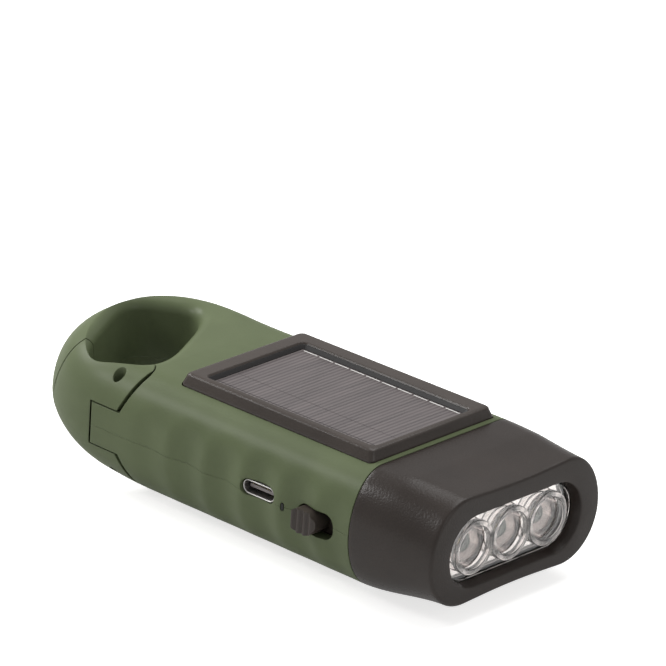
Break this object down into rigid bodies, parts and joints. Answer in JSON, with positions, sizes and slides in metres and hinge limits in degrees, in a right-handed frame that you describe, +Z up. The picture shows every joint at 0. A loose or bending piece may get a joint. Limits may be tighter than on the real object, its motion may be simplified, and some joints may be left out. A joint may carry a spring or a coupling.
{
  "type": "hand crank flashlight",
  "caption": "Pocket flashlight charged by a folding hand crank, a solar panel or USB-C, with LED reflectors, a slide switch and a carabiner loop with a sprung gate.",
  "frame": {"origin": "on the surface that the torch stands on, under the middle of its bounding box", "axes": "+X along the torch towards the lamp, +Y away from the side with the switch and the USB socket, +Z up out of the solar panel"},
  "size_m": [0.122, 0.0552, 0.0311],
  "materials": {
    "green_plastic": "moulded ABS, olive green, satin",
    "dark_plastic": "moulded ABS, warm dark grey, finely textured",
    "grey_plastic": "glass-filled nylon, dark grey",
    "white_plastic": "natural acetal",
    "clear_plastic": "clear polycarbonate, polished",
    "reflector_chrome": "vacuum-metallised plastic",
    "steel": "stamped or turned steel",
    "brass": "cut brass",
    "copper_wire": "enamelled copper wire, wound",
    "magnet": "sintered ferrite, dark grey",
    "solar_cell": "silicon cell under resin, grey-mauve with fine lines",
    "circuit_board": "green solder mask",
    "battery_wrap": "heat-shrink sleeve"
  },
  "bodies": {
    "housing": {"top_shell": "green_plastic", "bottom_shell": "green_plastic", "front_bezel": "dark_plastic", "lens": "clear_plastic", "reflector": "reflector_chrome", "led_board": "circuit_board", "led_1": "clear_plastic", "led_2": "clear_plastic", "led_3": "clear_plastic", "solar_frame": "dark_plastic", "solar_panel": "solar_cell", "main_board": "circuit_board", "usb_shell": "steel", "usb_tongue": "dark_plastic", "switch_body": "steel", "light_pipe": "clear_plastic", "battery": "battery_wrap", "gear_plate": "grey_plastic", "upper_plate": "grey_plastic", "axle_1": "steel", "axle_2": "steel", "coil_bobbin": "white_plastic", "coil_winding": "copper_wire", "case_screw_1": "steel", "case_screw_2": "steel", "case_screw_3": "steel", "case_screw_4": "steel", "plate_screw_1": "steel", "plate_screw_2": "steel", "plate_screw_3": "steel", "plate_screw_4": "steel"},
    "gate": {"carabiner_gate": "green_plastic", "gate_pin": "steel", "gate_spring": "steel"},
    "switch": {"switch_knob": "dark_plastic"},
    "crank": {"crank_hub": "dark_plastic", "hinge_pin": "steel", "drive_gear": "white_plastic"},
    "arm": {"crank_arm": "dark_plastic", "knob_post": "steel"},
    "knob": {"crank_knob": "dark_plastic"},
    "first_gear": {"compound_gear_1": "white_plastic"},
    "second_gear": {"compound_gear_2": "white_plastic"},
    "rotor": {"rotor_pinion": "brass", "rotor_magnet": "magnet"}
  },
  "joints": [
    {"name": "gate_hinge", "type": "hinge", "parent": "housing", "child": "gate", "pos_m": [-0.0311, -0.02065, 0.01525], "axis": [0, 0, -1], "range_deg": [0, 25], "stiffness_Nm_per_rad": 0.02, "springref_deg": -20.05},
    {"name": "switch_slide", "type": "slide", "parent": "housing", "child": "switch", "axis": [1, 0, 0], "range_m": [0, 0.0033]},
    {"name": "crank_spin", "type": "hinge", "parent": "housing", "child": "crank", "pos_m": [0.008, 0.0008, 0.007], "axis": [0, 0, 1], "continuous": true},
    {"name": "crank_fold", "type": "hinge", "parent": "crank", "child": "arm", "pos_m": [0.0222, 0.0008, 0.0015], "axis": [0, -1, 0], "range_deg": [0, 180]},
    {"name": "knob_spin", "type": "hinge", "parent": "arm", "child": "knob", "pos_m": [-0.0019, 0.0008, 0.008], "axis": [0, 0, 1], "continuous": true},
    {"name": "first_gear_spin", "type": "hinge", "parent": "housing", "child": "first_gear", "pos_m": [0.02225, 0.01078, 0.0157], "axis": [0, 0, 1], "continuous": true},
    {"name": "second_gear_spin", "type": "hinge", "parent": "housing", "child": "second_gear", "pos_m": [0.02007, -0.00163, 0.0178], "axis": [0, 0, 1], "continuous": true},
    {"name": "rotor_spin", "type": "hinge", "parent": "housing", "child": "rotor", "pos_m": [0.01179, 0.00664, 0.0217], "axis": [0, 0, 1], "continuous": true}
  ],
  "couplings": [
    {"joint": "first_gear_spin", "follows": "crank_spin", "ratio": -4.8},
    {"joint": "second_gear_spin", "follows": "crank_spin", "ratio": 15.36},
    {"joint": "rotor_spin", "follows": "crank_spin", "ratio": -51.2}
  ]
}
